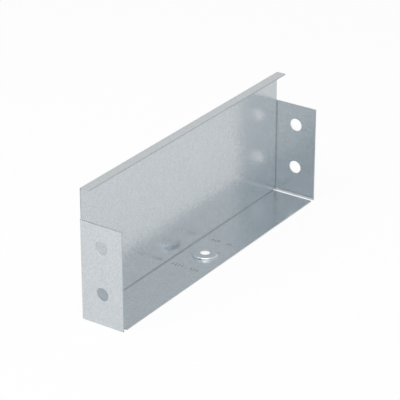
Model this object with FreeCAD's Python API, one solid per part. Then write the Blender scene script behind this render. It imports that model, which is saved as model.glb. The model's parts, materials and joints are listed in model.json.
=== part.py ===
import FreeCAD
import Part
import math
import os

# Cable tray end cap: one blank of galvanised steel sheet, cut, embossed and folded.
#
# It closes the end of a straight cable tray. A tall web stands across the tray, two ears fold
# forward along the tray's side walls, a floor flange folds forward under the tray's base, and a
# narrow lip at the top carries the end of the cover. All folds run the same way, towards -Y.
#
# Frame: millimetres, +Z up, +X along the cap, -Y towards the tray. The origin is the middle of
# the cap's footprint, on the plane that the cap stands on.

# Sheet and folds
sheet = 0.8                  # thickness of the steel
inside_radius = 0.5          # inside radius of every fold

# Overall sizes, over the outer faces
length = 200.0               # from ear to ear
height = 80.0                # from the floor's underside to the lip's top
depth = 28.5                 # from the web's back to the front edges of ears and floor

# Top lip
lip_width = 6.7              # from the web's back to the lip's free edge

# Ears and their screw holes
ear_height = 61.0            # from the floor's underside to the ear's top edge
ear_hole_diameter = 8.0
ear_hole_pitch = 28.5        # between the two holes of one ear
ear_hole_from_top = 13.25    # from the ear's top edge to the upper hole's centre

# Slot between the floor's end and the ear, cut so that both can fold
corner_slot_width = 2.5      # from the floor's end to the ear's inner face

# Embossed boss in the floor, with the screw hole in its raised top
boss_base_diameter = 16.0    # on the upper face, across the foot of the wall
boss_height = 1.6            # rise of the top above the floor
boss_draft = 3.0             # degrees by which the wall leans in from upright
boss_blend_radius = 0.2      # inside radius at the foot and at the top of the wall
screw_hole_diameter = 6.0

# Construction allowances
tool_overrun = 1.0           # how far a cutting tool runs past the face it cuts
boss_flat_margin = 1.0       # flat sheet that is made with the boss, round its foot

# Planes and radii that follow from these sizes
outside_radius = inside_radius + sheet
half_length = length / 2
back = depth / 2
front = -depth / 2
web_inner = back - sheet
ear_inner = half_length - sheet
web_end = half_length - outside_radius
floor_end = ear_inner - corner_slot_width
flange_middle = (web_inner + front) / 2      # all the holes sit midway across their flanges
upper_hole_z = ear_height - ear_hole_from_top
lower_hole_z = upper_hole_z - ear_hole_pitch

origin = FreeCAD.Vector(0, 0, 0)
along = FreeCAD.Vector(1, 0, 0)
up = FreeCAD.Vector(0, 0, 1)
same_point = 1e-7


def rounded_outline(corners):
    """A closed wire through corners, each (x, y, z, radius); a radius of 0 leaves it sharp."""
    points = [FreeCAD.Vector(x, y, z) for x, y, z, _ in corners]
    cuts = []
    for i, point in enumerate(points):
        towards = (points[i - 1] - point).normalize()
        onwards = (points[(i + 1) % len(points)] - point).normalize()
        radius = corners[i][3]
        if radius == 0:
            cuts.append((point, point, point))
            continue
        half_angle = towards.getAngle(onwards) / 2
        setback = radius / math.tan(half_angle)
        bisector = (towards + onwards).normalize()
        middle = point + bisector * (radius / math.sin(half_angle) - radius)
        cuts.append((point + towards * setback, middle, point + onwards * setback))
    edges = []
    for i, (start, middle, end) in enumerate(cuts):
        if not start.isEqual(end, same_point):
            edges.append(Part.Arc(start, middle, end).toShape())
        following = cuts[(i + 1) % len(cuts)][0]
        if not end.isEqual(following, same_point):
            edges.append(Part.LineSegment(end, following).toShape())
    return Part.Wire(edges)


def both_sides(shape):
    """The shape, made for the right-hand side, and its mirror image on the left."""
    return [shape, shape.mirror(origin, along)]


def channel():
    """Lip, web and floor: the side view of the sheet, drawn out along the web's width."""
    lip_front = back - lip_width
    outline = rounded_outline([
        (-web_end, lip_front, height, 0),
        (-web_end, back, height, outside_radius),
        (-web_end, back, 0, outside_radius),
        (-web_end, front, 0, 0),
        (-web_end, front, sheet, 0),
        (-web_end, web_inner, sheet, inside_radius),
        (-web_end, web_inner, height - sheet, inside_radius),
        (-web_end, lip_front, height - sheet, 0),
    ])
    return Part.Face(outline).extrude(along * (2 * web_end))


def corner_slot():
    """The slot that frees the floor from the ear, as high as the floor's fold."""
    return Part.makeBox(
        web_end + tool_overrun - floor_end,
        depth + 2 * tool_overrun,
        outside_radius + tool_overrun,
        FreeCAD.Vector(floor_end, front - tool_overrun, -tool_overrun),
    )


def ear():
    """The right-hand ear with its fold, seen from above and drawn upwards, and its two holes."""
    outline = rounded_outline([
        (web_end, back, 0, 0),
        (half_length, back, 0, outside_radius),
        (half_length, front, 0, 0),
        (ear_inner, front, 0, 0),
        (ear_inner, web_inner, 0, inside_radius),
        (web_end, web_inner, 0, 0),
    ])
    plate = Part.Face(outline).extrude(up * ear_height)
    for hole_z in (lower_hole_z, upper_hole_z):
        drill = Part.makeCylinder(
            ear_hole_diameter / 2,
            sheet + 2 * tool_overrun,
            FreeCAD.Vector(ear_inner - tool_overrun, flange_middle, hole_z),
            along,
        )
        plate = plate.cut(drill)
    return plate


def boss():
    """The disc that leaves the flat floor, and the embossed ring of sheet in its place."""
    slope = math.radians(90 - boss_draft)
    slope_run = boss_height / math.tan(slope)
    face_shift = sheet * math.tan(slope / 2)
    upper_foot = boss_base_diameter / 2
    upper_top = upper_foot - slope_run
    lower_foot = upper_foot - face_shift
    lower_top = upper_top - face_shift
    rim = upper_foot + boss_flat_margin
    hole = screw_hole_diameter / 2
    outer_blend = boss_blend_radius + sheet
    section = rounded_outline([
        (hole, 0, boss_height, 0),
        (lower_top, 0, boss_height, boss_blend_radius),
        (lower_foot, 0, 0, outer_blend),
        (rim, 0, 0, 0),
        (rim, 0, sheet, 0),
        (upper_foot, 0, sheet, boss_blend_radius),
        (upper_top, 0, sheet + boss_height, outer_blend),
        (hole, 0, sheet + boss_height, 0),
    ])
    centre = FreeCAD.Vector(0, flange_middle, 0)
    ring = Part.Face(section).revolve(origin, up, 360)
    ring.translate(centre)
    disc = Part.makeCylinder(rim, sheet, centre, up)
    return disc, ring


def end_cap():
    """The whole cap, as one solid."""
    disc, ring = boss()
    folded = channel().cut([disc] + both_sides(corner_slot()))
    return folded.fuse([ring] + both_sides(ear())).removeSplitter().Solids[0]


os.makedirs("parts", exist_ok=True)
cap = end_cap()
cap.exportStep("parts/end_cap.step")
print("end_cap: valid", cap.isValid(), "faces", len(cap.Faces), "volume", round(cap.Volume, 1))
print(cap.BoundBox)
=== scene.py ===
"""Looks of a cable tray end cap: one folded sheet of galvanised steel.

The sheet is drawn flat, as its blank, with its holes, its embossed boss and its stamped ticks.
A fold map then carries every point of the blank to its place on the folded cap. The middle of the
sheet keeps its length in the folds, so the pattern of the zinc runs round them unstretched.

Blank coordinates, in metres: s runs along the cap, t runs up the web, and both go on past the
folds as developed lengths. The offset is the distance from the middle of the sheet, and it is
positive on the inner face, which looks into the tray.
"""

import json
import logging
import math
from dataclasses import dataclass
from enum import Enum
from functools import reduce

import bpy
import numpy as np
from mathutils import Matrix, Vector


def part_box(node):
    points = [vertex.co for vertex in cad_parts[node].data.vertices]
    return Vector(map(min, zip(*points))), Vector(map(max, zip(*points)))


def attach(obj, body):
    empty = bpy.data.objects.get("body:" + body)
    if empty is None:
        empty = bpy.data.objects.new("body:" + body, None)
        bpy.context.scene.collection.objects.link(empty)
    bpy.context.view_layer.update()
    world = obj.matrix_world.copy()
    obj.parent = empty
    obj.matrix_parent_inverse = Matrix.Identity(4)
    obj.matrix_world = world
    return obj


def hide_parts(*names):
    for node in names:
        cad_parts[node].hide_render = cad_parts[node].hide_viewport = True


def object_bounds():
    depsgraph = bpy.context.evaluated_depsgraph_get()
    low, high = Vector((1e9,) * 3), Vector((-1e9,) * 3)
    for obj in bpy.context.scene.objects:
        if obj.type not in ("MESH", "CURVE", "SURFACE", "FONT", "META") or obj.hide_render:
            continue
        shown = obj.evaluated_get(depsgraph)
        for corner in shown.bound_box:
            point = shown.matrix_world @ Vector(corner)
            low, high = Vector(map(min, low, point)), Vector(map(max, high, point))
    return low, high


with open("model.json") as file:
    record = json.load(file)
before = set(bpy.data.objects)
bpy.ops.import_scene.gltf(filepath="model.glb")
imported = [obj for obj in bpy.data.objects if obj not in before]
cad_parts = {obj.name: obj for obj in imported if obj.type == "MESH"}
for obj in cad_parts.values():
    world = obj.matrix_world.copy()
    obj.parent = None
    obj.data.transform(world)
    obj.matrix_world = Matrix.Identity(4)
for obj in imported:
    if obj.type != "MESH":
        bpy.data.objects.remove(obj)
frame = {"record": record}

MM = 0.001
CAD_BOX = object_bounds()
NODE = "end_cap"
BODY = "root"
# Points that agree to this distance are one point.
SAME_PLACE = MM / 1000
NO_CAPS = np.zeros((0, 0), int)

Array = np.ndarray
Pair = tuple[float, float]
Triple = tuple[float, float, float]
Socket = bpy.types.NodeSocket
Value = float | tuple[float, ...] | Socket

logging.basicConfig(level=logging.INFO, format="%(message)s")
log = logging.getLogger("end_cap_looks")


def shown(name: str, data: bpy.types.ID) -> bpy.types.Object:
    """Makes an object of a mesh, lamp or camera and links it to the scene.

    Args:
        name: The object's name.
        data: What it shows.

    Returns:
        The object.
    """
    made = bpy.data.objects.new(name, data)
    bpy.context.scene.collection.objects.link(made)
    return made


class Face(Enum):
    """The two faces of the sheet, by the sign of their offset from its middle."""

    INNER = 1
    OUTER = -1


class Finish(Enum):
    """Material slots of the sheet, by their index."""

    ZINC = 0
    SHEARED = 1
    PUNCHED = 2


@dataclass(frozen=True)
class SheetStock:
    """The steel sheet and its folds."""

    thickness: float = 0.8 * MM
    inside_radius: float = 0.5 * MM

    @property
    def half(self) -> float:
        """Half of the thickness."""
        return self.thickness / 2

    @property
    def middle_radius(self) -> float:
        """Radius of the sheet's middle in a fold."""
        return self.inside_radius + self.half

    @property
    def outside_radius(self) -> float:
        """Radius of the outer face in a fold."""
        return self.inside_radius + self.thickness

    @property
    def fold_length(self) -> float:
        """Length of the sheet's middle in a right-angled fold."""
        return self.middle_radius * math.pi / 2


@dataclass(frozen=True)
class CapSizes:
    """Sizes of the folded cap. What the frame states is read from it."""

    stock: SheetStock
    half_length: float
    height: float
    back: float
    front: float
    ear_hole_radius: float
    ear_hole_levels: Pair
    hole_y: float
    screw_hole_radius: float
    lip_width: float = 6.7 * MM
    ear_height: float = 61.0 * MM
    corner_slot_width: float = 2.5 * MM

    @classmethod
    def from_frame(cls, stock: SheetStock) -> "CapSizes":
        """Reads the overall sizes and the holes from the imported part.

        Args:
            stock: The sheet that the cap is made from.

        Returns:
            The cap's sizes.
        """
        low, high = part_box(NODE)
        mounts = {mount["name"]: mount for mount in frame["record"]["mounts"]}
        ear = mounts["right_ear_holes"]
        screw = mounts["floor_screw_hole"]
        half_pitch = ear["dims"]["spacing_y_mm"] * MM / 2
        middle_level = ear["pos_m"][2]
        return cls(
            stock=stock,
            half_length=high.x,
            height=high.z,
            back=high.y,
            front=low.y,
            ear_hole_radius=ear["dims"]["hole_r_mm"] * MM,
            ear_hole_levels=(middle_level - half_pitch, middle_level + half_pitch),
            hole_y=ear["pos_m"][1],
            screw_hole_radius=screw["dims"]["r_mm"] * MM,
        )

    @property
    def web_end(self) -> float:
        """Distance from the middle of the web to the start of an ear's fold."""
        return self.half_length - self.stock.outside_radius

    @property
    def web_bottom(self) -> float:
        """Height at which the floor's fold starts."""
        return self.stock.outside_radius

    @property
    def web_top(self) -> float:
        """Height at which the lip's fold starts."""
        return self.height - self.stock.outside_radius

    @property
    def floor_end(self) -> float:
        """Distance from the middle of the floor to its end beside the corner slot."""
        return self.half_length - self.stock.thickness - self.corner_slot_width

    def developed(self, depth: float) -> float:
        """Developed length from the start of a fold to this depth, measured from the web's back."""
        return self.stock.fold_length + depth - self.stock.outside_radius

    @property
    def hole_reach(self) -> float:
        """Developed length from the start of a fold to the holes of an ear or the floor."""
        return self.developed(self.back - self.hole_y)


@dataclass(frozen=True)
class FoldMap:
    """Carries points of the flat blank to their places on the folded cap."""

    cap: CapSizes
    fade: float = 0.15 * MM

    def past_fold(self, distance: Array, offset: Array) -> tuple[Array, Array]:
        """Follows the sheet into and past one fold.

        With r the middle radius, the angle is the distance over r, held between nothing and a
        right angle. The advance is (r - offset) times the angle's sine, after what lies before
        the fold. The turn is r less (r - offset) times its cosine, and then the straight rest.

        Args:
            distance: Developed distance past the start of the fold, negative before it.
            offset: Offset from the middle of the sheet, positive on the inner face.

        Returns:
            How far the point lies along the web's plane, and how far it has turned inwards.
        """
        radius = self.cap.stock.middle_radius
        angle = np.clip(distance / radius, 0, math.pi / 2)
        rest = np.maximum(distance - self.cap.stock.fold_length, 0)
        advance = np.minimum(distance, 0) + (radius - offset) * np.sin(angle)
        turn = radius - (radius - offset) * np.cos(angle) + rest
        return advance, turn

    def place(self, flat: Array, offset: Array) -> Array:
        """Folds points of the blank.

        Ears fold at the ends of the web, the lip at its top and the floor at its bottom. Only
        points between the corner slots belong to the floor, so an ear reaches the ground.

        Args:
            flat: Blank coordinates, one row (s, t) for each point.
            offset: Offset of each point from the middle of the sheet.

        Returns:
            One row (x, y, z) for each point, in the row frame.
        """
        cap = self.cap
        s, t = flat[:, 0], flat[:, 1]
        slot_middle = (cap.floor_end + cap.web_end) / 2
        side_advance, side_turn = self.past_fold(np.abs(s) - cap.web_end, offset)
        top_advance, top_turn = self.past_fold(t - cap.web_top, offset)
        low_advance, low_turn = self.past_fold(cap.web_bottom - t, offset)
        is_floor = (t < cap.web_bottom) & (np.abs(s) < slot_middle)
        is_lip = t > cap.web_top
        is_ear = np.abs(s) > cap.web_end
        x = np.sign(s) * (cap.web_end + side_advance)
        z = np.select([is_floor, is_lip], [cap.web_bottom - low_advance, cap.web_top + top_advance], t)
        turn = np.select([is_ear, is_floor, is_lip], [side_turn, low_turn, top_turn], offset)
        y = cap.back - cap.stock.half - turn
        return np.stack([x, y, z], axis=1)

    def bend_share(self, flat: Array) -> Array:
        """Tells how much a point of the blank lies in a fold, for the dulling of bent zinc and for the
        painted shade in the inner crease of a fold.

        It is one in a fold and falls evenly to nothing over a short way beside it.

        Args:
            flat: Blank coordinates, one row (s, t) for each point.

        Returns:
            The share of each point, from nothing to one.
        """
        cap = self.cap
        length = cap.stock.fold_length
        s, t = np.abs(flat[:, 0]), flat[:, 1]
        past = np.stack([s - cap.web_end, t - cap.web_top, cap.web_bottom - t])
        on_floor = s < (cap.floor_end + cap.web_end) / 2
        away = np.maximum(np.maximum(-past, past - length), 0)
        away[2] = np.where(on_floor, away[2], length)
        return np.clip(1 - away.min(axis=0) / self.fade, 0, 1)


@dataclass
class Blank:
    """A flat mesh of the blank, with what the press did to it.

    Args:
        flat: Blank coordinates of the points.
        quads: Corners of the four-sided faces, counter-clockwise.
        caps: Corners of the many-sided faces that close the ticks.
        lift: How far the middle of the sheet is raised at each point.
        lean: Slope of the sheet there, as the sine of its angle along s and t.
        dent: How far the inner face alone is pressed in.
    """

    flat: Array
    quads: Array
    caps: Array
    lift: Array
    lean: Array
    dent: Array

    @classmethod
    def level(cls, flat: Array, quads: Array) -> "Blank":
        """Makes a stretch of the blank that the press left flat."""
        none = np.zeros(len(flat))
        return cls(flat, quads, NO_CAPS, none, np.zeros_like(flat), none)

    @classmethod
    def joined(cls, parts: list["Blank"]) -> "Blank":
        """Joins stretches of the blank at the points that they share.

        Where a flat stretch meets a pressed one, the points that they share are flat in both.

        Args:
            parts: The stretches.

        Returns:
            One mesh of them all.
        """
        starts = np.cumsum([0] + [len(part.flat) for part in parts[:-1]])
        flat = np.concatenate([part.flat for part in parts])
        places = np.round(flat / SAME_PLACE)
        _, first, same = np.unique(places, axis=0, return_index=True, return_inverse=True)
        same = same.reshape(-1)
        quads = np.concatenate([part.quads + start for part, start in zip(parts, starts)])
        caps = [part.caps + start for part, start in zip(parts, starts) if part.caps.size]
        return cls(
            flat[first],
            same[quads],
            same[np.concatenate(caps)],
            np.concatenate([part.lift for part in parts])[first],
            np.concatenate([part.lean for part in parts])[first],
            np.concatenate([part.dent for part in parts])[first],
        )

    def free_edges(self) -> Array:
        """Finds the edges that belong to one face only.

        Returns:
            The two ends of each such edge, in the order in which its face runs through them.
        """
        sides = np.concatenate([self.around(self.quads), self.around(self.caps)])
        key = np.sort(sides, axis=1)
        _, index, count = np.unique(key, axis=0, return_index=True, return_counts=True)
        return sides[index[count == 1]]

    @staticmethod
    def around(faces: Array) -> Array:
        """Lists the two ends of every side of faces that all have as many sides."""
        return np.stack([faces, np.roll(faces, -1, axis=1)], axis=2).reshape(-1, 2)


@dataclass(frozen=True)
class Pocket:
    """A rectangular block of the ruled blank that holds a ring-shaped pattern.

    Args:
        centre: The block's middle, in blank coordinates.
        reach: Half of its size along s and t.
        radii: Half axes of each ring along s and t, from the outermost one in.
        lift: How far the middle of the sheet is raised at each ring.
        lean: Sine of the sheet's slope at each ring, falling outwards.
        dent: How far each ring is pressed into the inner face.
        closed: Whether the innermost ring is closed by a flat face.
    """

    centre: Pair
    reach: Pair
    radii: Array
    lift: Array
    lean: Array
    dent: Array
    closed: bool = False

    @classmethod
    def hole(cls, centre: Pair, reach: float, radius: float, ring_gap: float) -> "Pocket":
        """Makes a round hole in the flat sheet.

        Args:
            centre: The hole's middle, in blank coordinates.
            reach: Half of the block's side.
            radius: Radius of the hole's edge.
            ring_gap: Width of the narrow ring of faces round the hole.

        Returns:
            The block.
        """
        radii = np.array([(radius + reach) / 2, radius + ring_gap, radius])
        none = np.zeros(len(radii))
        return cls(centre, (reach, reach), np.stack([radii, radii], axis=1), none, none, none)

    def covers(self, s: Array, t: Array) -> Array:
        """Tells which of the points with these blank coordinates lie in the block."""
        return (np.abs(s - self.centre[0]) < self.reach[0]) & (np.abs(t - self.centre[1]) < self.reach[1])

    def rim(self, s_lines: Array, t_lines: Array) -> Array:
        """Walks counter-clockwise round the block through every ruled point on its outline.

        Args:
            s_lines: Lines ruled across the blank, at these values of s.
            t_lines: Lines ruled along the blank, at these values of t.

        Returns:
            The outline's points, relative to the middle, from the lower left corner.
        """
        s = s_lines[np.abs(s_lines - self.centre[0]) < self.reach[0] + SAME_PLACE] - self.centre[0]
        t = t_lines[np.abs(t_lines - self.centre[1]) < self.reach[1] + SAME_PLACE] - self.centre[1]
        bottom = np.stack([s, np.full(len(s), t[0])], axis=1)[:-1]
        right = np.stack([np.full(len(t), s[-1]), t], axis=1)[:-1]
        top = np.stack([s[::-1], np.full(len(s), t[-1])], axis=1)[:-1]
        left = np.stack([np.full(len(t), s[0]), t[::-1]], axis=1)[:-1]
        return np.concatenate([bottom, right, top, left])

    def patch(self, s_lines: Array, t_lines: Array) -> Blank:
        """Fills the block with rings between its outline and its pattern.

        A point of the outline is scaled to a square of side two. On each side of that square the
        angle grows evenly with the place along the side, an eighth of a turn for each half side,
        and the rings hold the point at that angle.

        Args:
            s_lines: Lines ruled across the blank.
            t_lines: Lines ruled along the blank.

        Returns:
            The block's mesh.
        """
        outline = self.rim(s_lines, t_lines)
        u, v = (outline / np.array(self.reach)).T
        eighth = math.pi / 4
        on_side = np.abs(u) >= np.abs(v)
        beside = np.where(on_side, v / np.where(on_side, u, 1), u / np.where(on_side, 1, v))
        quarter = np.where(on_side, np.where(u > 0, 0, math.pi), np.where(v > 0, math.pi / 2, -math.pi / 2))
        angle = quarter + np.where(on_side, beside, -beside) * eighth
        towards = np.stack([np.cos(angle), np.sin(angle)], axis=1)
        rings = self.radii[:, None, :] * towards[None, :, :]
        flat = np.concatenate([outline[None], rings]) + np.array(self.centre)
        count = len(outline)
        ring = np.arange(len(self.radii))[:, None] * count
        here = ring + np.arange(count)
        following = ring + np.roll(np.arange(count), -1)
        quads = np.stack([here, following, following + count, here + count], axis=2)
        innermost = (len(self.radii) * count + np.arange(count))[None, :]
        caps = innermost if self.closed else NO_CAPS
        lean = np.concatenate([[0], self.lean])[:, None, None] * towards
        return Blank(
            flat.reshape(-1, 2),
            quads.reshape(-1, 4),
            caps,
            np.repeat(np.concatenate([[0], self.lift]), count),
            lean.reshape(-1, 2),
            np.repeat(np.concatenate([[0], self.dent]), count),
        )


@dataclass(frozen=True)
class BossDie:
    """The die that raises the boss in the floor and the screw hole in its top."""

    stock: SheetStock
    hole_radius: float
    base_radius: float = 8.0 * MM
    rise: float = 1.6 * MM
    draft_degrees: float = 3.0
    blend_radius: float = 0.2 * MM
    arc_rings: int = 10
    reach: float = 10.5 * MM
    ruled_steps: int = 14

    def pocket(self, centre: Pair) -> Pocket:
        """Draws the middle of the sheet from the flat floor to the hole, and places it.

        Two arcs of the same radius r, each as long as the slope's angle, join the flats to a
        straight slope. In the foot's arc the radius falls by r times the angle's sine, and the
        lift grows by r times one less its cosine. The arc at the top mirrors it.

        Args:
            centre: The boss's middle, in blank coordinates.

        Returns:
            The block that holds the boss.
        """
        slope = math.radians(90 - self.draft_degrees)
        r = self.blend_radius + self.stock.half
        angle = np.linspace(0, slope, self.arc_rings)
        face_shift = self.stock.thickness * math.tan(slope / 2)
        foot_corner = self.base_radius - face_shift / 2
        tangent = r * math.tan(slope / 2)
        top_corner = foot_corner - self.rise / math.tan(slope)
        foot_radius = foot_corner + tangent - r * np.sin(angle)
        foot_lift = r * (1 - np.cos(angle))
        top_radius = top_corner - tangent + r * np.sin(angle[::-1])
        top_lift = self.rise - r * (1 - np.cos(angle[::-1]))
        guard = self.stock.half / 2
        top, edge = top_radius[-1], self.hole_radius
        level_radius = np.array([top - guard, (top + edge) / 2, edge + guard, edge])
        level_count = len(level_radius)
        radius = np.concatenate([[foot_radius[0] + guard], foot_radius, top_radius, level_radius])
        lift = np.concatenate([[0], foot_lift, top_lift, np.full(level_count, self.rise)])
        lean = np.concatenate([[0], np.sin(angle), np.sin(angle[::-1]), np.zeros(level_count)])
        radii = np.stack([radius, radius], axis=1)
        return Pocket(centre, (self.reach, self.reach), radii, lift, lean, np.zeros(len(radius)))


@dataclass(frozen=True)
class TickStamp:
    """Rows of plain ticks stamped beside the boss, two rows on each side.

    A tick is a narrow oval groove, drawn as rings from its edge in. Each ring has its share of
    the tick's length, width and depth, and a flat face closes the innermost one.
    """

    column: float = 19.1 * MM
    pitch: float = 2.1 * MM
    half_length: float = 1.6 * MM
    half_width: float = 0.42 * MM
    depth: float = 0.3 * MM
    length_shares: Triple = (1.0, 0.9, 0.8)
    width_shares: Triple = (1.0, 0.7, 0.45)
    depth_shares: Triple = (0.0, 0.8, 1.0)
    reach: float = 2.0 * MM
    ruled_steps: int = 4
    left_rows: tuple[range, ...] = (range(1, 5), range(-4, -1))
    right_rows: tuple[range, ...] = (range(1, 4), range(-3, -1))

    def pockets(self, centre: Pair) -> list[Pocket]:
        """Places every tick on the blank, with the rows midway between whole pitches.

        Args:
            centre: The boss's middle, in blank coordinates.

        Returns:
            One block for each tick.
        """
        shares = np.array([self.length_shares, self.width_shares])
        radii = (shares * np.array([[self.half_length], [self.half_width]])).T
        dent = self.depth * np.array(self.depth_shares)
        none = np.zeros(len(radii))
        places = [(-self.column, k) for row in self.left_rows for k in row]
        places += [(self.column, k) for row in self.right_rows for k in row]
        reach = (self.reach, self.pitch / 2)
        return [
            Pocket((s, centre[1] + (k + 0.5) * self.pitch), reach, radii, none, none, dent, True)
            for s, k in places
        ]


def ruled(stops: list[Pair], spare: float = 0.01) -> Array:
    """Rules lines between stops.

    Args:
        stops: Place of each stop, and the widest gap between lines up to the next one.
        spare: How far a stretch may exceed whole gaps, as a share of one, without another line.

    Returns:
        The lines' places, from the first stop to the last.
    """
    ordered = sorted(stops)
    lines = [
        np.linspace(start, end, max(1, math.ceil((end - start) / step - spare)) + 1)[:-1]
        for (start, step), (end, _) in zip(ordered, ordered[1:])
    ]
    return np.append(np.concatenate(lines), ordered[-1][0])


@dataclass(frozen=True)
class RoundedEdge:
    """The section of a sheared edge, from the inner face round to the outer one.

    The punch enters at the outer face, so that corner is drawn in further than the inner one.
    Below it the sheet is cut clean, and then it breaks and falls back a little.
    """

    inset: float = 0.1 * MM
    inner_depth: float = 0.07 * MM
    outer_depth: float = 0.13 * MM
    break_back: float = 0.02 * MM
    break_share: float = -0.1
    arc_steps: int = 4

    def section(self, half: float) -> Array:
        """Works out the section's points, without its two ends on the faces.

        Each corner is a quarter of an oval: the reach grows with the sine of the angle, and the
        offset falls by the corner's depth times one less the cosine. The break begins between
        them, at its share of the half thickness.

        Args:
            half: Half of the sheet's thickness.

        Returns:
            How far each point reaches past the faces' own edge, and its offset.
        """
        angle = np.linspace(0, math.pi / 2, self.arc_steps + 1)[1:]
        rise, fall = np.sin(angle), 1 - np.cos(angle)
        inner = np.stack([(self.inset - self.break_back) * rise, half - self.inner_depth * fall], axis=1)
        outer = np.stack([self.inset * rise, self.outer_depth * fall - half], axis=1)
        return np.concatenate([inner, [[self.inset, self.break_share * half]], outer[::-1]])


@dataclass
class FoldedSheet:
    """The whole cap, as one sheet with two faces and a sheared edge all round."""

    cap: CapSizes
    edge: RoundedEdge
    web_step: float = 2.5 * MM
    flange_step: float = 1.6 * MM
    fold_steps: int = 10
    hole_block: float = 5.6 * MM
    hole_steps: int = 16
    guard: float = 0.15 * MM
    texture_span: float = 350 * MM
    corner_angle: float = math.radians(50)

    def __post_init__(self) -> None:
        """Places the features on the blank, draws it and finds its free edges."""
        cap = self.cap
        self.fold_map = FoldMap(cap)
        self.stamp = TickStamp()
        self.floor_centre = (0.0, cap.web_bottom - cap.hole_reach)
        self.die = BossDie(cap.stock, cap.screw_hole_radius + self.edge.inset)
        radius = cap.ear_hole_radius + self.edge.inset
        ear_holes = [
            Pocket.hole((side * (cap.web_end + cap.hole_reach), level), self.hole_block, radius, self.guard)
            for side in (-1, 1)
            for level in cap.ear_hole_levels
        ]
        ticks = self.stamp.pockets(self.floor_centre)
        self.pockets = [self.die.pocket(self.floor_centre)] + ear_holes + ticks
        self.section = self.edge.section(cap.stock.half)
        self.blank = self.drawn()
        self.edges = self.blank.free_edges()
        self.points, self.way = self.outward()

    def lines(self) -> tuple[Array, Array]:
        """Rules the blank so that each fold, free edge and block begins and ends on a line.

        Returns:
            The values of s and of t at which it is ruled.
        """
        cap, die, stamp, inset = self.cap, self.die, self.stamp, self.edge.inset
        guard, web, flange, block = self.guard, self.web_step, self.flange_step, self.hole_block
        fold = cap.stock.fold_length
        fold_step = fold / self.fold_steps
        hole_step = 2 * block / self.hole_steps
        hole_s = cap.web_end + cap.hole_reach
        flange_length = cap.developed(cap.back - cap.front)
        ear_end = cap.web_end + flange_length - inset
        right = ruled([
            (0, die.reach / die.ruled_steps),
            (die.reach, web),
            (stamp.column - stamp.reach, stamp.reach / stamp.ruled_steps),
            (stamp.column + stamp.reach, web),
            (cap.floor_end - inset - guard, web),
            (cap.floor_end - inset, flange),
            (cap.web_end - guard, guard),
            (cap.web_end - inset, 2 * inset),
            (cap.web_end + inset, fold_step),
            (cap.web_end + fold, guard),
            (cap.web_end + fold + guard, flange),
            (hole_s - block, hole_step),
            (hole_s + block, flange),
            (ear_end - guard, guard),
            (ear_end, guard),
        ])
        floor_t = self.floor_centre[1]
        floor_front = cap.web_bottom - flange_length + inset
        floor_fold = cap.web_bottom - fold
        lip_end = cap.web_top + cap.developed(cap.lip_width) - inset
        stops = [
            (floor_front, guard),
            (floor_front + guard, flange),
            (floor_t - die.reach, stamp.pitch / stamp.ruled_steps),
            (floor_t + die.reach, flange),
            (floor_fold - guard, guard),
            (floor_fold, fold_step),
            (inset, fold_step),
            (cap.web_bottom - inset, 2 * inset),
            (cap.web_bottom + inset, guard),
            (cap.web_bottom + inset + guard, web),
            (cap.ear_height - inset - guard, guard),
            (cap.ear_height - inset, web),
            (cap.web_top - guard, guard),
            (cap.web_top, fold_step),
            (cap.web_top + fold, guard),
            (cap.web_top + fold + guard, flange),
            (lip_end - guard, guard),
            (lip_end, guard),
        ]
        for level in cap.ear_hole_levels:
            stops += [(level - block, hole_step), (level + block, web)]
        return np.concatenate([-right[:0:-1], right]), ruled(stops)

    def inside(self, s: Array, t: Array) -> Array:
        """Tells which points of the ruled blank are sheet.

        The web carries the lip at its top. Both ears stand beside it and reach the ground past
        the corner slots, and the floor lies between the slots.

        Args:
            s: First blank coordinate.
            t: Second blank coordinate.

        Returns:
            True where there is sheet and no block.
        """
        cap, inset = self.cap, self.edge.inset
        along = np.abs(s)
        above_slot = t > cap.web_bottom + inset
        web = (along < cap.web_end - inset) & above_slot
        in_ear_band = (t > inset) & (t < cap.ear_height - inset)
        ear = in_ear_band & (above_slot | (along > cap.web_end + inset))
        floor = (along < cap.floor_end - inset) & (t < cap.web_bottom + inset)
        return (web | ear | floor) & ~self.in_pocket(s, t)

    def in_pocket(self, s: Array, t: Array) -> Array:
        """Tells which of the points with these blank coordinates lie in a block."""
        return np.any([pocket.covers(s, t) for pocket in self.pockets], axis=0)

    def drawn(self) -> Blank:
        """Draws the flat blank with every feature.

        Returns:
            The blank's mesh.
        """
        s_lines, t_lines = self.lines()
        across = len(s_lines)
        s_middle, t_middle = ((ends[:-1] + ends[1:]) / 2 for ends in (s_lines, t_lines))
        column, row = np.meshgrid(np.arange(across - 1), np.arange(len(t_lines) - 1))
        keep = self.inside(s_middle[column], t_middle[row])
        corner = (row * across + column)[keep]
        quads = np.stack([corner, corner + 1, corner + across + 1, corner + across], axis=1)
        grid = np.stack(np.meshgrid(s_lines, t_lines), axis=2).reshape(-1, 2)
        used, quads = np.unique(quads, return_inverse=True)
        ruled_part = Blank.level(grid[used], quads.reshape(-1, 4))
        tick_count = sum(pocket.closed for pocket in self.pockets)
        log.info("blank ruled with %d by %d lines and %d ticks", across, len(t_lines), tick_count)
        return Blank.joined([ruled_part] + [pocket.patch(s_lines, t_lines) for pocket in self.pockets])

    def outward(self) -> tuple[Array, Array]:
        """Finds the way out of the sheet at each point of its free edges.

        An edge's way out is square to it, on its right-hand side. A point's is the sum of its
        two edges' ways out, times two, over that sum's own length squared, so that a step of
        one along it moves both edges out by one.

        Returns:
            The points on free edges, and the way out at each of them.
        """
        start, end = self.edges.T
        step = self.blank.flat[end] - self.blank.flat[start]
        way = np.stack([step[:, 1], -step[:, 0]], axis=1)
        way /= np.linalg.norm(way, axis=1, keepdims=True)
        total = np.zeros_like(self.blank.flat)
        np.add.at(total, start, way)
        np.add.at(total, end, way)
        points = np.unique(self.edges)
        total = total[points]
        return points, 2 * total / np.sum(total ** 2, axis=1, keepdims=True)

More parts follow.
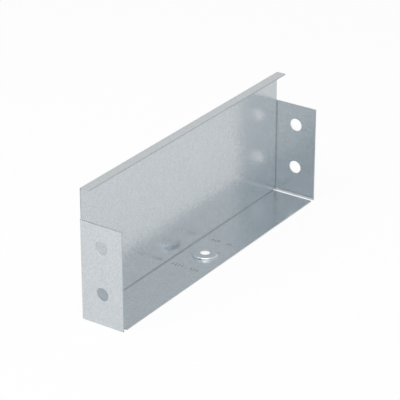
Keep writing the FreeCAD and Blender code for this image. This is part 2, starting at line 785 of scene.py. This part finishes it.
    def skin(self, face: Face) -> Array:
        """Folds one face of the sheet.

        The face lies half a thickness off the middle, square to it. So where the sheet leans,
        the half thickness times the sine moves the point along the blank, and the half
        thickness times the cosine moves it off the middle.

        Args:
            face: Which face.

        Returns:
            The places of the face's points.
        """
        blank = self.blank
        half = face.value * self.cap.stock.half
        rise = np.sqrt(1 - np.sum(blank.lean ** 2, axis=1))
        dent = blank.dent if face is Face.INNER else 0
        return self.fold_map.place(blank.flat + half * blank.lean, blank.lift + half * rise - dent)

    def build(self) -> bpy.types.Object:
        """Folds both faces, closes them with the sheared edge and makes the object.

        Returns:
            The folded sheet.
        """
        blank, edges, points = self.blank, self.edges, self.points
        rings = [
            self.fold_map.place(blank.flat[points] + reach * self.way, blank.lift[points] + offset)
            for reach, offset in self.section
        ]
        places = np.concatenate([self.skin(Face.INNER), self.skin(Face.OUTER)] + rings)
        count = len(blank.flat)
        rank = np.zeros(count, int)
        rank[points] = np.arange(len(points))
        levels = [edges] + [2 * count + k * len(points) + rank[edges] for k in range(len(rings))]
        levels.append(count + edges)
        bands = [
            np.stack([above[:, 1], above[:, 0], below[:, 0], below[:, 1]], axis=1)
            for above, below in zip(levels, levels[1:])
        ]
        quads, caps = (np.concatenate([near, count + near[:, ::-1]]) for near in (blank.quads, blank.caps))
        mesh = bpy.data.meshes.new("folded_sheet")
        mesh.from_pydata(places, [], quads.tolist() + np.concatenate(bands).tolist() + caps.tolist())
        in_hole = self.in_pocket(*blank.flat[edges[:, 0]].T)
        walls = np.tile(np.where(in_hole, Finish.PUNCHED.value, Finish.SHEARED.value), len(bands))
        finish = np.full(len(mesh.polygons), Finish.ZINC.value, np.int32)
        finish[len(quads):len(quads) + len(walls)] = walls
        mesh.polygons.foreach_set("material_index", finish)
        mesh.polygons.foreach_set("use_smooth", np.ones(len(mesh.polygons), bool))
        self.mark_corners(mesh, np.concatenate([levels[0], levels[-1]]))
        self.add_layers(mesh)
        mesh.update()
        log.info("folded_sheet: %d points, %d faces", len(mesh.vertices), len(mesh.polygons))
        return shown("folded_sheet", mesh)

    def mark_corners(self, mesh: bpy.types.Mesh, meeting: Array) -> None:
        """Keeps the shading apart at the blank's corners and where the edge meets a face.

        An edge's key is its lower end times the number of points, plus its higher end.

        Args:
            mesh: The sheet's mesh.
            meeting: The ends of the mesh's edges between the sheared edge and a face.
        """
        mesh.set_sharp_from_angle(angle=self.corner_angle)
        ends = np.zeros(2 * len(mesh.edges), np.int32)
        mesh.edges.foreach_get("vertices", ends)
        pairs = (np.sort(pair, axis=1) for pair in (ends.reshape(-1, 2).astype(np.int64), meeting))
        keys = [pair[:, 0] * len(mesh.vertices) + pair[:, 1] for pair in pairs]
        sharp = np.zeros(len(mesh.edges), bool)
        mesh.edges.foreach_get("use_edge_sharp", sharp)
        mesh.edges.foreach_set("use_edge_sharp", sharp | np.isin(*keys))

    def add_layers(self, mesh: bpy.types.Mesh) -> None:
        """Lays the blank out as the sheet's texture map, and notes where it is bent or stamped.

        Both faces and the edge have a place of their own in the map, one above the other, all
        at one scale. So the zinc's pattern follows the rolled sheet round its folds. In a fold
        the zinc is pressed together on the inner face and stretched on the outer one, so the
        bend is one there and minus one here. The material dulls bent zinc on both faces and
        paints shade where the bend is positive, in the inner crease of each fold. The stamped
        depth carries the painted shade in the ticks.

        Args:
            mesh: The sheet's mesh.
        """
        blank, points, half = self.blank, self.points, self.cap.stock.half
        low = blank.flat.min(axis=0) - self.edge.inset
        band = blank.flat[:, 1].max() - low[1] + 2 * self.edge.inset
        laid = blank.flat - low
        up = np.array([0, 1])
        rims = [
            laid[points] + reach * self.way + (2 * band + half + offset) * up
            for reach, offset in self.section
        ]
        chart = np.concatenate([laid, laid + band * up] + rims) / self.texture_span
        corners = np.zeros(len(mesh.loops), np.int32)
        mesh.loops.foreach_get("vertex_index", corners)
        layer = mesh.uv_layers.new(name="blank")
        layer.data.foreach_set("uv", chart[corners].astype(np.float32).reshape(-1))
        # how far each point lies in a fold: it dulls bent zinc and carries the painted shade of the inner
        # crease
        fold_strain_and_shade = self.fold_map.bend_share(blank.flat)
        rim_strain_and_shade = [offset / half * fold_strain_and_shade[points] for _, offset in self.section]
        # how deep each point is stamped: the material paints shade into the ticks by it
        stamped = blank.dent / self.stamp.depth
        leaning = np.linalg.norm(blank.lean, axis=1)
        none = np.zeros(len(rims) * len(points))
        notes = {
            "bend": [fold_strain_and_shade, -fold_strain_and_shade] + rim_strain_and_shade,
            "stamped": [stamped, np.zeros(len(stamped)), none],
            "burnished": [leaning, leaning, none],
        }
        for name, values in notes.items():
            attribute = mesh.attributes.new(name, "FLOAT", "POINT")
            attribute.data.foreach_set("value", np.concatenate(values).astype(np.float32))


class NodeGraph:
    """The nodes of a material or a world, with short ways to add and join them."""

    def __init__(self, owner: bpy.types.Material | bpy.types.World) -> None:
        """Empties the owner's node tree.

        Args:
            owner: The material or world.
        """
        owner.use_nodes = True
        self.owner = owner
        self.tree = owner.node_tree
        self.tree.nodes.clear()

    @classmethod
    def of_material(cls, name: str) -> "NodeGraph":
        """Starts the empty graph of a new material with this name."""
        return cls(bpy.data.materials.new(name))

    def add(self, kind: str, inputs: dict[str | int, Value], **settings: object) -> bpy.types.Node:
        """Adds a node.

        Args:
            kind: The node's type name, without its common prefix.
            inputs: What each input gets, by its name or number. A socket is joined to it.
            settings: Properties of the node.

        Returns:
            The node.
        """
        node = self.tree.nodes.new("ShaderNode" + kind)
        for name, value in settings.items():
            setattr(node, name, value)
        for name, value in inputs.items():
            if isinstance(value, Socket):
                self.tree.links.new(value, node.inputs[name])
            else:
                node.inputs[name].default_value = value
        return node

    def end(self, kind: str, surface: Socket) -> None:
        """Joins the finished surface to an output node of this kind."""
        self.add(kind, {"Surface": surface})

    def math(self, operation: str, first: Value, second: Value = 0.0) -> Socket:
        """Joins two numbers by one operation."""
        return self.add("Math", {0: first, 1: second}, operation=operation).outputs[0]

    def vectors(self, operation: str, first: Value, second: Value) -> bpy.types.Node:
        """Adds a node that joins two vectors by one operation."""
        return self.add("VectorMath", {0: first, 1: second}, operation=operation)

    def scaled(self, vector: Socket, factors: Triple) -> Socket:
        """Multiplies a vector by a factor for each axis."""
        return self.vectors("MULTIPLY", vector, factors).outputs["Vector"]

    def dot(self, first: Value, second: Value) -> Socket:
        """Gives the dot product of two vectors."""
        return self.vectors("DOT_PRODUCT", first, second).outputs["Value"]

    def noted(self, name: str) -> Socket:
        """Reads a number that the mesh keeps for each of its points."""
        return self.add("Attribute", {}, attribute_name=name).outputs["Fac"]

    def centred(self, value: Socket) -> Socket:
        """Turns a value near a half into one about nothing."""
        return self.math("SUBTRACT", value, 0.5)

    def noise(self, vector: Socket, detail: float, roughness: float = 0.5) -> Socket:
        """Reads cloudy noise about nothing, of scale one, with this many finer layers this strong."""
        inputs = {"Vector": vector, "Scale": 1.0, "Detail": detail, "Roughness": roughness}
        return self.centred(self.add("TexNoise", inputs).outputs["Fac"])

    def moved(self, base: float, *swings: tuple[Socket, float]) -> Socket:
        """Moves a base number by each value times its swing, from the first to the last."""
        moves = [self.math("MULTIPLY", value, swing) for value, swing in swings]
        return reduce(lambda first, second: self.math("ADD", first, second), [base] + moves)

    def seen(self, by_camera: float, by_metal: float) -> Socket:
        """Gives a value to the rays by which things are seen.

        Args:
            by_camera: The value for rays that come from the camera, or through something clear.
            by_metal: The value for rays that a glossy surface reflects.

        Returns:
            That value, and nothing for the rays that only carry light.
        """
        path = self.add("LightPath", {})
        straight = self.math("MAXIMUM", path.outputs["Is Camera Ray"], path.outputs["Is Transmission Ray"])
        mirrored = self.math("MULTIPLY", path.outputs["Is Glossy Ray"], by_metal)
        return self.math("MAXIMUM", self.math("MULTIPLY", straight, by_camera), mirrored)

    def metal(self, colour: Triple, tone: Socket, roughness: Socket, height: Socket) -> None:
        """Ends the graph in a bare metal.

        Args:
            colour: Its colour.
            tone: A factor on that colour.
            roughness: Its roughness.
            height: Height of its surface, in millimetres.
        """
        tinted = self.add("VectorMath", {0: colour, "Scale": tone}, operation="SCALE")
        bump = self.add("Bump", {"Strength": 1.0, "Distance": MM, "Height": height})
        shader = self.add("BsdfPrincipled", {
            "Metallic": 1.0,
            "Base Color": tinted.outputs[0],
            "Roughness": roughness,
            "Normal": bump.outputs[0],
        })
        self.end("OutputMaterial", shader.outputs[0])


@dataclass(frozen=True)
class GalvanisedFinish:
    """Hot-dip zinc with a fine spangle, on rolled sheet.

    Sizes, scales and heights are in millimetres of the flat blank. A swing is how far a
    property moves when its pattern changes by one.
    """

    texture_span: float
    colour: Triple = (0.686, 0.728, 0.756)
    roughness: float = 0.20
    crystal_size: float = 0.7
    crystal_squash: float = 0.8
    crystal_tilt: float = 0.03
    crystal_swing: float = 0.13
    crystal_gloss_swing: float = 0.05
    border_scale: float = 0.9
    grain_scale: Triple = (2.6, 1.9, 1.0)
    grain_swing: float = 0.43
    grain_height: float = 0.008
    streak_scale: Triple = (2.2, 0.06, 1.0)
    streak_swing: float = 0.06
    streak_gloss_swing: float = 0.08
    streak_height: float = 0.012
    cloud_scale: Triple = (0.06, 0.04, 1.0)
    cloud_swing: float = 0.05
    cloud_gloss_swing: float = 0.06
    # painted shade: darkens the zinc's colour in the inner crease of each fold
    fold_shade: float = 0.40
    fold_dulling: float = 0.10
    # painted shade: darkens the zinc's colour in the floor of each stamped tick
    stamp_shade: float = 0.8
    burnish: float = 0.15

    def build(self) -> bpy.types.Material:
        """Makes the material.

        Each crystal of the zinc has its own grey, its own roughness and a slight tilt. Rolling
        streaks run along t. Painted shade darkens the inside of a fold and the stamped ticks,
        standing in for the shade in the crease and the grooves. Bent zinc is duller on both
        faces, and the die has burnished the boss's wall.

        Returns:
            The material.
        """
        graph = NodeGraph.of_material("galvanised_sheet")
        chart = graph.add("UVMap", {}, uv_map="blank").outputs[0]
        place = graph.scaled(chart, (self.texture_span / MM,) * 3)
        grey, gloss, facet = self.crystals(graph, place)
        grain = graph.noise(graph.scaled(place, self.grain_scale), detail=3.0, roughness=0.6)
        streak = graph.noise(graph.scaled(place, self.streak_scale), detail=2.0, roughness=0.6)
        cloud = graph.noise(graph.scaled(place, self.cloud_scale), detail=2.0)
        bend = graph.noted("bend")
        tone = graph.moved(
            1.0,
            (grey, self.crystal_swing),
            (grain, self.grain_swing),
            (streak, self.streak_swing),
            (cloud, self.cloud_swing),
            # painted shade in the inner crease of each fold
            (graph.math("MAXIMUM", bend, 0.0), -self.fold_shade),
            # painted shade in the floor of each stamped tick
            (graph.noted("stamped"), -self.stamp_shade),
        )
        roughness = graph.moved(
            self.roughness,
            (gloss, self.crystal_gloss_swing),
            (streak, self.streak_gloss_swing),
            (cloud, self.cloud_gloss_swing),
            (graph.math("ABSOLUTE", bend), self.fold_dulling),
            (graph.noted("burnished"), -self.burnish),
        )
        height = graph.moved(
            0.0,
            (facet, self.crystal_tilt * self.crystal_size),
            (grain, self.grain_height),
            (streak, self.streak_height),
        )
        graph.metal(self.colour, tone, roughness, height)
        return graph.owner

    def crystals(self, graph: NodeGraph, place: Socket) -> tuple[Socket, Socket, Socket]:
        """Divides the zinc into crystals, whose borders wander because noise moves the place.

        The height of a crystal's facet is the dot product of a random slope and the way from
        its seed.

        Args:
            graph: The material's graph.
            place: Place on the blank.

        Returns:
            Two random numbers about nothing for each crystal, and the height of its tilted facet.
        """
        wander = graph.add("TexNoise", {"Vector": place, "Scale": self.border_scale})
        shifted = graph.vectors("ADD", place, wander.outputs["Color"]).outputs[0]
        per_mm = 1 / self.crystal_size
        spot = graph.scaled(shifted, (per_mm, per_mm * self.crystal_squash, per_mm))
        cells = graph.add("TexVoronoi", {"Vector": spot, "Scale": 1.0}, voronoi_dimensions="2D")
        random = cells.outputs["Color"]
        split = graph.add("SeparateColor", {0: random})
        slope = graph.vectors("SUBTRACT", random, (0.5, 0.5, 0.5)).outputs[0]
        away = graph.vectors("SUBTRACT", spot, cells.outputs["Position"]).outputs[0]
        facet = graph.dot(slope, graph.scaled(away, (1.0, 1.0, 0.0)))
        return graph.centred(split.outputs[0]), graph.centred(split.outputs[1]), facet


@dataclass(frozen=True)
class CutFinish:
    """A cut edge: bare steel, part burnished and part broken, with some zinc drawn over it.

    Scales and heights are in millimetres, and a swing is as in the zinc.
    """

    name: str
    colour: Triple
    roughness: float
    fine_scale: float = 3.0
    fine_swing: float = 0.5
    fine_gloss_swing: float = 0.2
    fine_height: float = 0.05
    broad_scale: float = 0.3
    broad_swing: float = 0.4

    def build(self) -> bpy.types.Material:
        """Makes the material.

        Returns:
            The material.
        """
        graph = NodeGraph.of_material(self.name)
        place = graph.add("TexCoord", {}).outputs["Object"]
        fine = graph.noise(graph.scaled(place, (self.fine_scale / MM,) * 3), detail=3.0, roughness=0.6)
        broad = graph.noise(graph.scaled(place, (self.broad_scale / MM,) * 3), detail=2.0)
        tone = graph.moved(1.0, (fine, self.fine_swing), (broad, self.broad_swing))
        roughness = graph.moved(self.roughness, (fine, self.fine_gloss_swing))
        graph.metal(self.colour, tone, roughness, graph.moved(0.0, (fine, self.fine_height)))
        return graph.owner


@dataclass(frozen=True)
class PaleFloor:
    """A white studio floor that keeps a soft shadow."""

    half_side: float = 4.0
    colour: Triple = (0.90, 0.90, 0.90)
    white_to_camera: float = 0.92
    white_in_metal: float = 0.45
    level_in_metal: float = 0.77

    def build(self) -> None:
        """Makes the floor.

        It reflects the studio's light, and so it keeps the object's shadow. What the camera
        sees of it is mostly plain white. The metal mirrors it partly as lit floor and partly
        as an even pale surface, about as bright as the floor is in the open.
        """
        side = self.half_side
        mesh = bpy.data.meshes.new("studio_floor")
        corners = np.array([[-side, -side, 0], [side, -side, 0], [side, side, 0], [-side, side, 0]])
        mesh.from_pydata(corners, [], [[0, 1, 2, 3]])
        graph = NodeGraph.of_material("studio_floor")
        matte = graph.add("BsdfDiffuse", {"Color": (*self.colour, 1.0)})
        white = graph.add("Emission", {"Strength": graph.seen(1.0, self.level_in_metal)})
        share = graph.seen(self.white_to_camera, self.white_in_metal)
        mixed = graph.add("MixShader", {0: share, 1: matte.outputs[0], 2: white.outputs[0]})
        graph.end("OutputMaterial", mixed.outputs[0])
        mesh.materials.append(graph.owner)
        shown("studio_floor", mesh)


@dataclass(frozen=True)
class SoftBox:
    """A large rectangular lamp that looks at the cap."""

    name: str
    place: Triple
    size: Pair
    power: float

    def build(self, aim: Array) -> None:
        """Hangs the lamp.

        Args:
            aim: The point that it looks at.
        """
        data = bpy.data.lights.new(self.name, "AREA")
        data.shape = "RECTANGLE"
        data.size, data.size_y = self.size
        data.energy = self.power
        back = np.array(self.place) - aim
        lamp = shown(self.name, data)
        lamp.matrix_world = looking_frame(back / np.linalg.norm(back), 0.0, np.array(self.place))


@dataclass(frozen=True)
class Studio:
    """A white room, a little brighter towards its left front, and two soft boxes near the cap."""

    room_light: float = 0.75
    room_level: float = 0.755
    brighter_towards: Triple = (-0.025, -0.015, 0.0)
    lamps: tuple[SoftBox, ...] = (
        SoftBox("key_softbox", (-0.30, -0.10, 1.0), (0.9, 0.9), 4.5),
        SoftBox("side_softbox", (-0.60, 0.30, 0.45), (0.4, 0.4), 1.15),
    )

    def build(self) -> None:
        """Lights the scene.

        The camera sees the room as plain white. The metal mirrors it at its full level, which
        is the dot product of the direction with the brighter side, added to the mean level.
        Other rays get a share of that level, because the soft boxes give the rest of the light.
        """
        world = bpy.data.worlds.new("white_room")
        bpy.context.scene.world = world
        graph = NodeGraph(world)
        direction = graph.add("TexCoord", {}).outputs["Generated"]
        level = graph.math("ADD", graph.dot(direction, self.brighter_towards), self.room_level)
        share = graph.math("MAXIMUM", graph.seen(0.0, 1.0), self.room_light)
        strength = graph.math("MAXIMUM", graph.seen(1.0, 0.0), graph.math("MULTIPLY", level, share))
        room = graph.add("Background", {"Color": (1.0, 1.0, 1.0, 1.0), "Strength": strength})
        graph.end("OutputWorld", room.outputs[0])
        low, high = (np.array(corner) for corner in CAD_BOX)
        for lamp in self.lamps:
            lamp.build((low + high) / 2)


def looking_frame(back: Array, roll: float, place: Array) -> Matrix:
    """Turns a camera or lamp so that it looks against a direction, level but for a roll.

    Its right is square to the vertical and to the back direction, and its up is square to
    both. The roll then turns right and up about the back direction.

    Args:
        back: Unit direction from the target to the camera.
        roll: Turn about the line of sight, in radians.
        place: Where the camera or lamp is.

    Returns:
        Its matrix.
    """
    right = np.cross((0.0, 0.0, 1.0), back)
    right /= np.linalg.norm(right)
    up = np.cross(back, right)
    turned_right = math.cos(roll) * right + math.sin(roll) * up
    turned_up = math.cos(roll) * up - math.sin(roll) * right
    columns = np.eye(4)
    columns[:3, :4] = np.stack([turned_right, turned_up, back, place], axis=1)
    return Matrix(columns.tolist())


@dataclass(frozen=True)
class PhotoCamera:
    """The camera, at the photograph's angle, with sizes in its frame of 400 by 400 pixels."""

    azimuth: float = math.radians(-55.764)
    elevation: float = math.radians(25.968)
    roll: float = math.radians(-0.021)
    distance: float = 1.163977
    slide: Pair = (2.692 * MM, -32.699 * MM)
    focal_pixels: float = 1982.348
    frame_pixels: float = 400.0
    sensor_mm: float = 36.0
    clip: Pair = (0.01, 50.0)

    def build(self) -> None:
        """Makes the camera and gives it to the scene."""
        back = np.array([
            math.sin(self.azimuth) * math.cos(self.elevation),
            -math.cos(self.azimuth) * math.cos(self.elevation),
            math.sin(self.elevation),
        ])
        turned = looking_frame(back, self.roll, np.zeros(3))
        axes = np.array(turned)[:3, :3]
        place = axes @ np.array([-self.slide[0], -self.slide[1], self.distance])
        data = bpy.data.cameras.new("photo_camera")
        data.sensor_width = self.sensor_mm
        data.lens = self.focal_pixels / self.frame_pixels * self.sensor_mm
        data.clip_start, data.clip_end = self.clip
        camera = shown("photo_camera", data)
        camera.matrix_world = looking_frame(back, self.roll, place)
        bpy.context.scene.camera = camera


def dress_cap() -> bpy.types.Object:
    """Builds the folded sheet, gives it its finishes and hands it to the frame.

    Returns:
        The folded sheet.
    """
    stock = SheetStock()
    cap = CapSizes.from_frame(stock)
    folded = FoldedSheet(cap, RoundedEdge())
    sheet = folded.build()
    finishes = (
        GalvanisedFinish(folded.texture_span),
        CutFinish("sheared_edge", colour=(0.53, 0.57, 0.60), roughness=0.34),
        CutFinish("punched_edge", colour=(0.74, 0.78, 0.80), roughness=0.28),
    )
    for finish in finishes:
        sheet.data.materials.append(finish.build())
    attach(sheet, BODY)
    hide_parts(NODE)
    return sheet


def main() -> None:
    """Builds the cap, the studio and the camera."""
    bpy.context.scene.view_settings.view_transform = "Standard"
    sheet = dress_cap()
    log.info("%s stands for %s", sheet.name, NODE)
    PaleFloor().build()
    log.info("studio floor laid")
    Studio().build()
    PhotoCamera().build()
    log.info("studio lit and camera placed")


if __name__ == "__main__":
    main()
